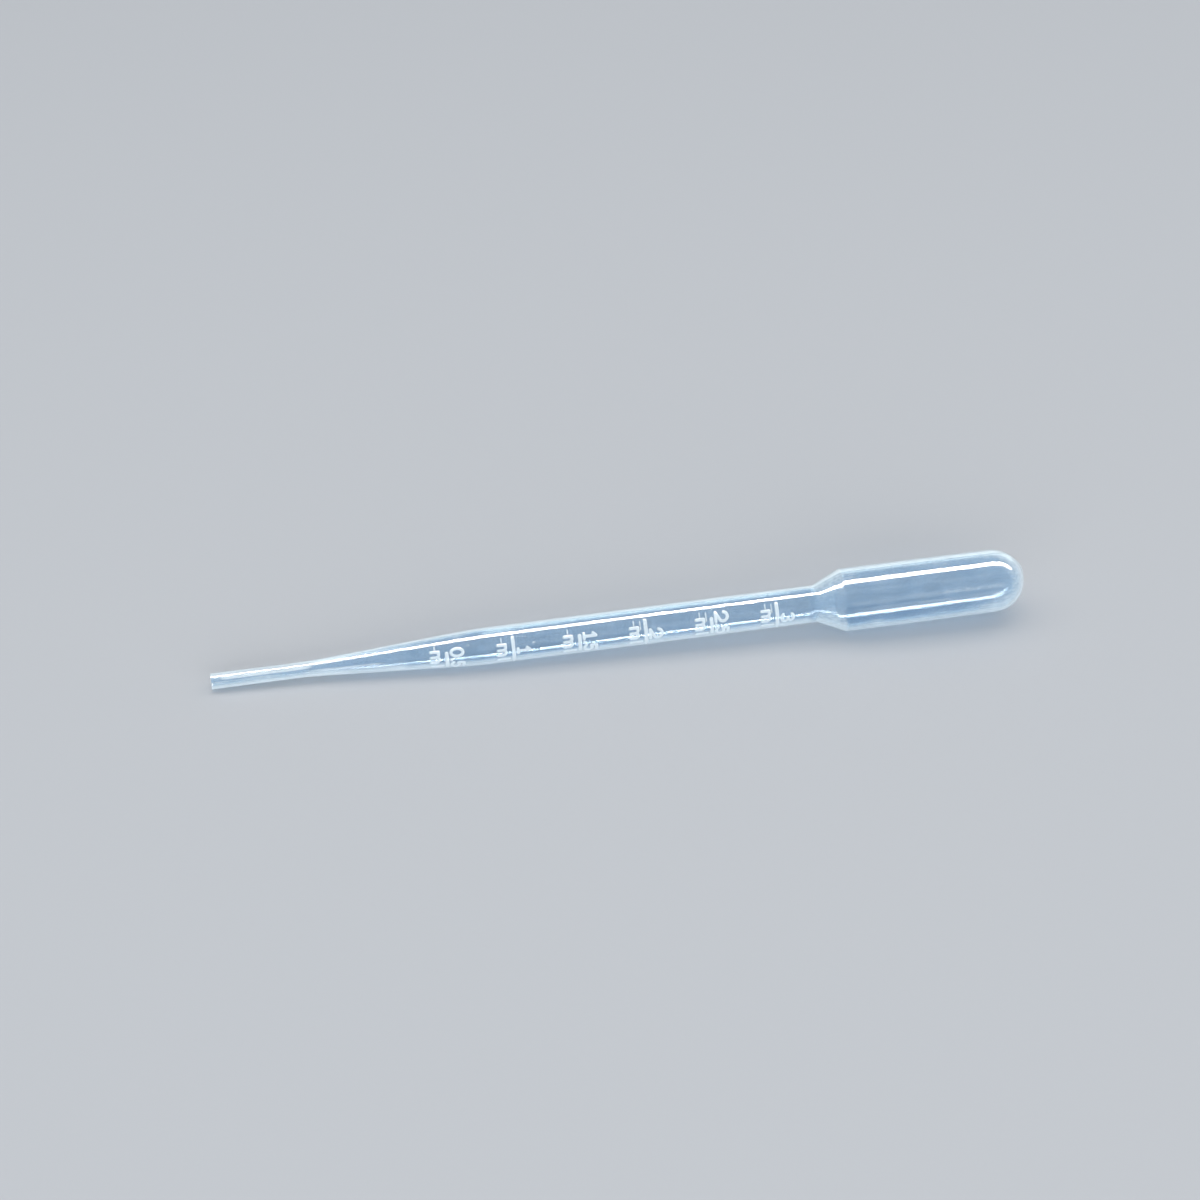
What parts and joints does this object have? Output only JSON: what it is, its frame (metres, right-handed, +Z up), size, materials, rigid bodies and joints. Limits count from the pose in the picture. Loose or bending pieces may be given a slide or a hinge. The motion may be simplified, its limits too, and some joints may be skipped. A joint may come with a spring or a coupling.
{
  "type": "graduated plastic dropper pipette",
  "caption": "Squeeze dropper with a narrow open tip, a long taper, a round stem with raised volume marks and a wider round-ended bulb that draws up and drops small amounts of liquid.",
  "frame": {"origin": "on the surface it lies on, under the middle of its bounding box", "axes": "+X along the lying body from the tip towards the bulb, +Y away from the side that carries the marks, +Z up; the body's own axis rises by 2.06 degrees from the tip to the bulb"},
  "size_m": [0.1634, 0.0128, 0.0139],
  "materials": {
    "translucent_polyethylene": "translucent milky polyethylene with a soft gloss"
  },
  "bodies": {
    "root": {"pipette": "translucent_polyethylene"}
  },
  "joints": []
}
